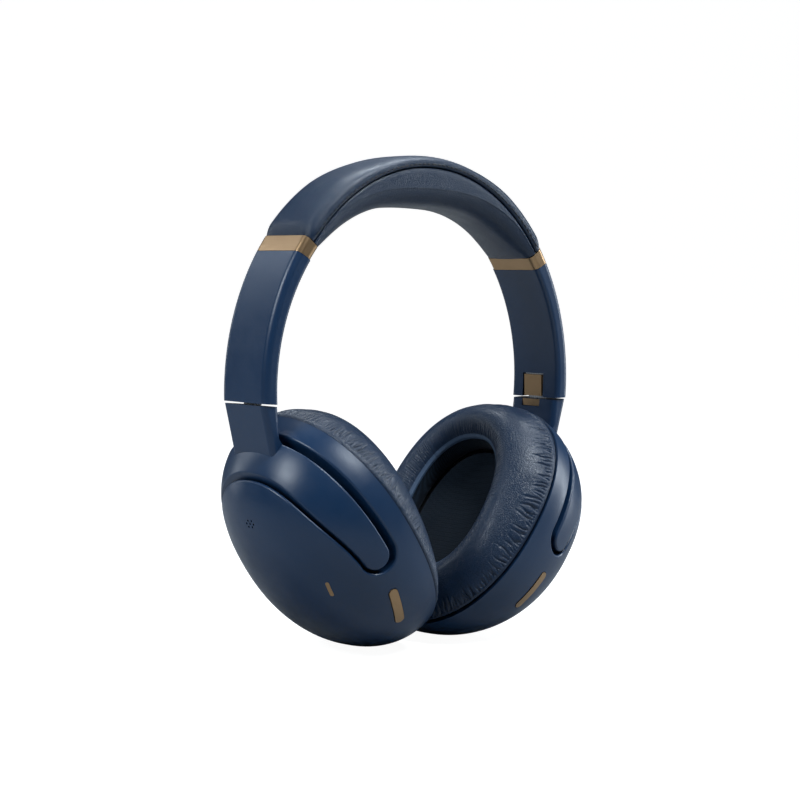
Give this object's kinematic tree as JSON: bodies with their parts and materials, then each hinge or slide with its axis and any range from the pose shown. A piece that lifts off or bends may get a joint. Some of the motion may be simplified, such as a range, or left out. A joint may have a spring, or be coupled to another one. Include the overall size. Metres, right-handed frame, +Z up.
{
  "type": "over-ear headphones",
  "caption": "Over-ear headphones with an arched padded headband, sliding arms, forked yokes and oval ear cups with soft ring cushions.",
  "frame": {"origin": "centre of the bounding box in X and Y, level with the lowest points of the ear cups", "axes": "+Z up the headband, -Y the wearer's front (the side of the buttons), +X the wearer's left"},
  "size_m": [0.162, 0.0885, 0.1923],
  "materials": {
    "navy_leatherette": "fine grained imitation leather, soft sheen",
    "navy_plastic": "satin moulded plastic",
    "inner_plastic": "plain moulded plastic",
    "bronze_trim": "satin bronze coating",
    "spring_steel": "brushed",
    "bush_brass": "turned",
    "cable_jacket": "soft jacket",
    "dark_cloth": "fine acoustic cloth",
    "magnet_metal": "nickel plated",
    "diaphragm_film": "thin clear film",
    "felt": "soft felt",
    "board_laminate": "solder mask",
    "black_trim": "glossy",
    "battery_wrap": "film wrapped"
  },
  "bodies": {
    "headband": {"crown_cover": "navy_leatherette", "crown_cushion": "navy_leatherette", "crown_frame": "inner_plastic", "band_spring": "spring_steel", "band_cable": "cable_jacket"},
    "arm_left": {"arm_outer_shell_left": "navy_plastic", "arm_inner_shell_left": "navy_plastic", "trim_ring_left": "bronze_trim"},
    "slider_left": {"slider_bar_left": "spring_steel", "slider_runner_left": "inner_plastic", "slider_tab_left": "bronze_trim"},
    "yoke_left": {"yoke_fork_left": "navy_plastic", "stem_tab_left": "bronze_trim", "swivel_bush_left": "bush_brass", "fork_pins_left": "spring_steel"},
    "cup_left": {"cup_shell_left": "navy_plastic", "baffle_left": "inner_plastic", "cup_screws_left": "spring_steel", "cushion_frame_left": "inner_plastic", "ear_screen_left": "dark_cloth", "ear_cushion_left": "navy_leatherette", "driver_basket_left": "inner_plastic", "driver_magnet_left": "magnet_metal", "driver_diaphragm_left": "diaphragm_film", "damper_pad_left": "felt", "circuit_board_left": "board_laminate", "microphone_left": "magnet_metal", "slit_trim_left": "bronze_trim", "button_switch_left": "black_trim", "battery_left": "battery_wrap", "audio_socket_left": "black_trim"},
    "button_left": {"button_left": "bronze_trim"},
    "arm_right": {"arm_outer_shell_right": "navy_plastic", "arm_inner_shell_right": "navy_plastic", "trim_ring_right": "bronze_trim"},
    "slider_right": {"slider_bar_right": "spring_steel", "slider_runner_right": "inner_plastic", "slider_tab_right": "bronze_trim"},
    "yoke_right": {"yoke_fork_right": "navy_plastic", "stem_tab_right": "bronze_trim", "swivel_bush_right": "bush_brass", "fork_pins_right": "spring_steel"},
    "cup_right": {"cup_shell_right": "navy_plastic", "baffle_right": "inner_plastic", "cup_screws_right": "spring_steel", "cushion_frame_right": "inner_plastic", "ear_screen_right": "dark_cloth", "ear_cushion_right": "navy_leatherette", "driver_basket_right": "inner_plastic", "driver_magnet_right": "magnet_metal", "driver_diaphragm_right": "diaphragm_film", "damper_pad_right": "felt", "circuit_board_right": "board_laminate", "microphone_right": "magnet_metal", "slit_trim_right": "bronze_trim", "button_switch_right": "black_trim", "charging_port_right": "spring_steel"},
    "button_right": {"button_right": "bronze_trim"}
  },
  "joints": [
    {"name": "band_flex_left", "type": "hinge", "parent": "headband", "child": "arm_left", "pos_m": [0.028, 0, 0.1818], "axis": [0, -1, 0], "range_deg": [0, 18], "stiffness_Nm_per_rad": 1.6, "deforming": ["crown_cover", "crown_cushion", "crown_frame", "band_spring", "band_cable"]},
    {"name": "slide_left", "type": "slide", "parent": "arm_left", "child": "slider_left", "axis": [0.0523, 0, -0.9986], "range_m": [0, 0.022]},
    {"name": "swivel_left", "type": "hinge", "parent": "slider_left", "child": "yoke_left", "pos_m": [0.076, 0, 0.0958], "axis": [0.0523, 0, -0.9986], "range_deg": [-5, 90], "deforming": ["ear_cushion_left"]},
    {"name": "tilt_left", "type": "hinge", "parent": "yoke_left", "child": "cup_left", "pos_m": [0.0492, 0, 0.04148], "axis": [0, 1, 0], "range_deg": [-1, 2], "deforming": ["ear_cushion_left"]},
    {"name": "press_left", "type": "slide", "parent": "cup_left", "child": "button_left", "axis": [0.0194, 0.9171, 0.3982], "range_m": [0, 0.0005], "stiffness_N_per_m": 600},
    {"name": "band_flex_right", "type": "hinge", "parent": "headband", "child": "arm_right", "pos_m": [-0.028, 0, 0.1818], "axis": [0, 1, 0], "range_deg": [0, 18], "stiffness_Nm_per_rad": 1.6, "deforming": ["crown_cover", "crown_cushion", "crown_frame", "band_spring", "band_cable"]},
    {"name": "slide_right", "type": "slide", "parent": "arm_right", "child": "slider_right", "axis": [-0.0523, 0, -0.9986], "range_m": [0, 0.022]},
    {"name": "swivel_right", "type": "hinge", "parent": "slider_right", "child": "yoke_right", "pos_m": [-0.076, 0, 0.0958], "axis": [0.0523, 0, 0.9986], "range_deg": [-5, 90], "deforming": ["ear_cushion_right"]},
    {"name": "tilt_right", "type": "hinge", "parent": "yoke_right", "child": "cup_right", "pos_m": [-0.0492, 0, 0.04148], "axis": [0, -1, 0], "range_deg": [-1, 2], "deforming": ["ear_cushion_right"]},
    {"name": "press_right", "type": "slide", "parent": "cup_right", "child": "button_right", "axis": [-0.0194, 0.9171, 0.3982], "range_m": [0, 0.0005], "stiffness_N_per_m": 600}
  ]
}
